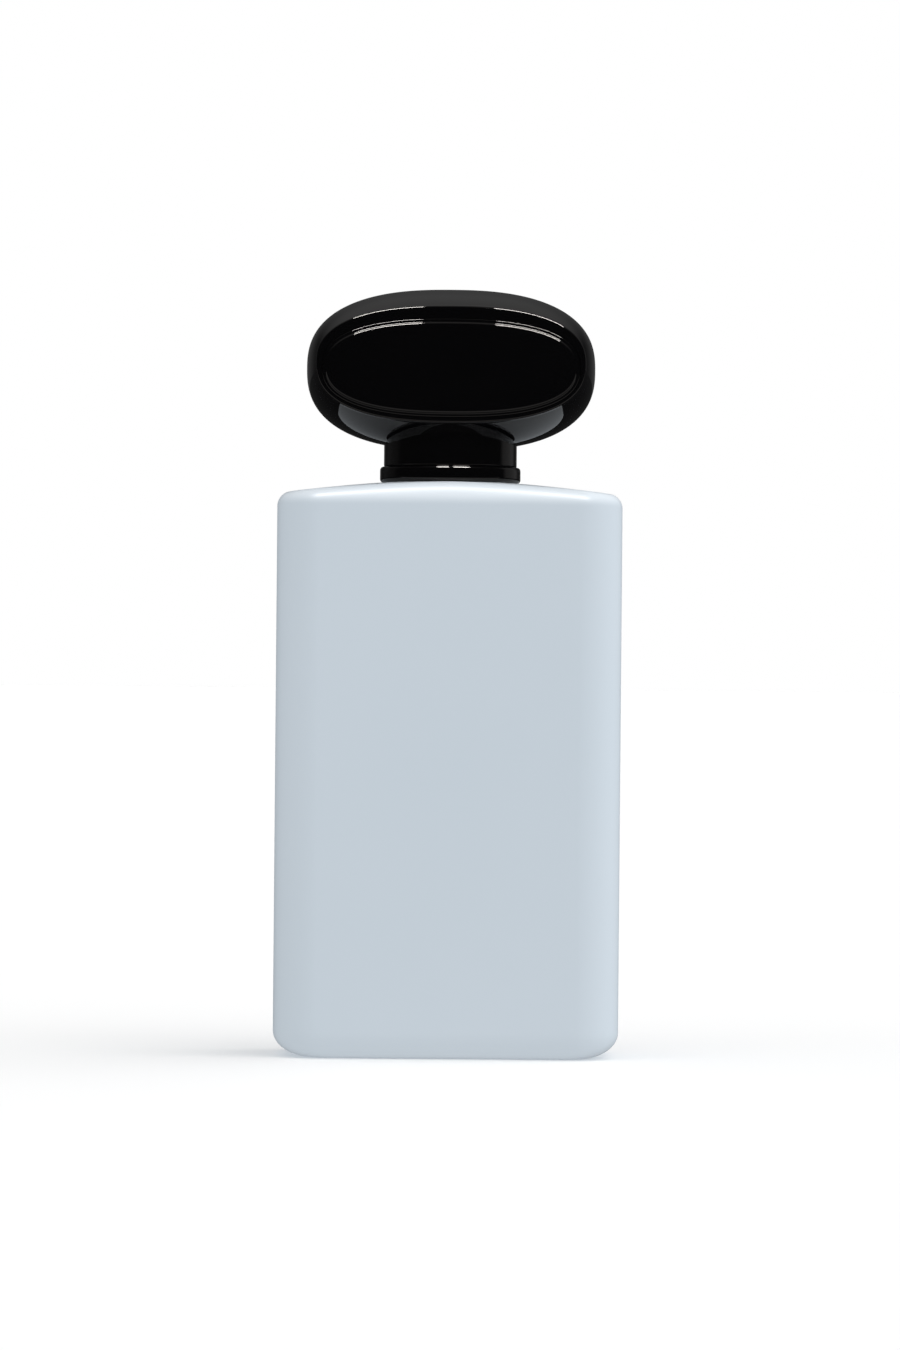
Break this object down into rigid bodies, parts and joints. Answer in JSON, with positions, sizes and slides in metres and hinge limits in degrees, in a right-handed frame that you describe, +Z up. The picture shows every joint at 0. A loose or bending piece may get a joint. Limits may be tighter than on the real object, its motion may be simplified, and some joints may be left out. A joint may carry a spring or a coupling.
{
  "type": "aftershave bottle",
  "caption": "Flat upright lacquered glass aftershave bottle with a crimped spray pump, a round neck collar and a pull-off oval pebble cap.",
  "frame": {"origin": "middle of the base, on the surface that the bottle stands on", "axes": "+Z up, along the neck; +X to the right along the wide face; the front face and the spray hole face -Y"},
  "size_m": [0.062, 0.031, 0.1383],
  "materials": {
    "lacquered_glass": "glossy opaque pale blue-grey lacquer over glass",
    "collar_black": "glossy black",
    "cap_black": "glossy black lacquer",
    "plate_black": "polished black inlay",
    "liner_black": "moulded black",
    "weight_steel": "plain turned steel",
    "button_black": "moulded black",
    "sleeve_aluminium": "satin anodised",
    "nozzle_black": "moulded black",
    "ferrule_aluminium": "bright pressed sheet",
    "gasket_rubber": "moulded elastomer",
    "white_plastic": "moulded white",
    "natural_plastic": "moulded, natural",
    "grey_plastic": "moulded grey",
    "spring_steel": "drawn stainless wire"
  },
  "bodies": {
    "bottle_body": {"bottle": "lacquered_glass", "crimp_ferrule": "ferrule_aluminium", "neck_gasket": "gasket_rubber", "pump_housing": "white_plastic", "stem_guide": "natural_plastic", "stem_gasket": "gasket_rubber", "dip_tube": "natural_plastic", "return_spring": "spring_steel"},
    "collar": {"neck_collar": "collar_black", "collar_insert": "white_plastic"},
    "cap": {"cap_frame": "cap_black", "cap_front_plate": "plate_black", "cap_back_plate": "plate_black", "cap_liner": "liner_black", "cap_weight": "weight_steel"},
    "pump_stem": {"valve_stem": "white_plastic", "stem_foot": "natural_plastic", "precompression_spring": "spring_steel"},
    "piston_body": {"piston": "grey_plastic"},
    "button": {"spray_button": "button_black", "button_sleeve": "sleeve_aluminium", "nozzle_insert": "nozzle_black"},
    "check_ball": {"inlet_ball": "spring_steel"}
  },
  "joints": [
    {"name": "collar_turn", "type": "hinge", "parent": "bottle_body", "child": "collar", "pos_m": [0, 0, 0.1049], "axis": [0, 0, 1], "continuous": true},
    {"name": "cap_lift", "type": "slide", "parent": "collar", "child": "cap", "axis": [0, 0, 1], "range_m": [0, 0.045]},
    {"name": "pump_press", "type": "slide", "parent": "bottle_body", "child": "pump_stem", "axis": [0, 0, -1], "range_m": [0, 0.0042], "stiffness_N_per_m": 1200, "springref_m": -0.004, "deforming": ["return_spring"]},
    {"name": "piston_slip", "type": "slide", "parent": "pump_stem", "child": "piston_body", "axis": [0, 0, 1], "range_m": [0, 0.0004], "stiffness_N_per_m": 2000, "springref_m": -0.001, "deforming": ["precompression_spring"]},
    {"name": "button_swivel", "type": "hinge", "parent": "pump_stem", "child": "button", "pos_m": [0, 0, 0.12535], "axis": [0, 0, 1], "continuous": true},
    {"name": "ball_lift", "type": "slide", "parent": "bottle_body", "child": "check_ball", "axis": [0, 0, 1], "range_m": [0, 0.0006]}
  ]
}
